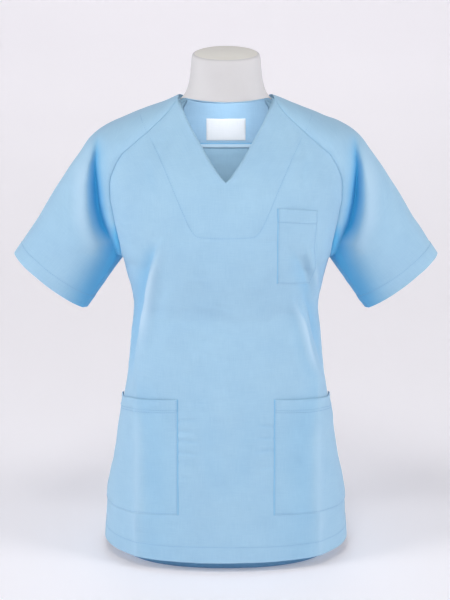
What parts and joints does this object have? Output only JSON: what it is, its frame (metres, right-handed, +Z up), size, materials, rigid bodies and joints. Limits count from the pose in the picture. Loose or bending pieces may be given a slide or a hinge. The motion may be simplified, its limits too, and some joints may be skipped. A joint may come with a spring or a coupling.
{
  "type": "scrub top on a dress form",
  "caption": "Light blue V-neck scrub top with short raglan sleeves, a chest pocket and two lower pockets, worn by a white limbless dress form.",
  "frame": {"origin": "on the floor under the middle of the whole part, within the form's flat base", "axes": "+Z up, -Y towards the front of the garment, +X towards the wearer's left"},
  "size_m": [0.6502, 0.2596, 0.7895],
  "materials": {
    "scrub_cloth": "matt plain-weave cotton and polyester",
    "label_tape": "matt woven tape, blank",
    "form_shell": "satin white moulded shell"
  },
  "bodies": {
    "root": {"front_panel": "scrub_cloth", "back_panel": "scrub_cloth", "sleeve_left": "scrub_cloth", "sleeve_right": "scrub_cloth", "chest_pocket": "scrub_cloth", "pocket_left": "scrub_cloth", "pocket_right": "scrub_cloth", "back_facing": "scrub_cloth", "neck_label": "label_tape", "dress_form": "form_shell"}
  },
  "joints": []
}
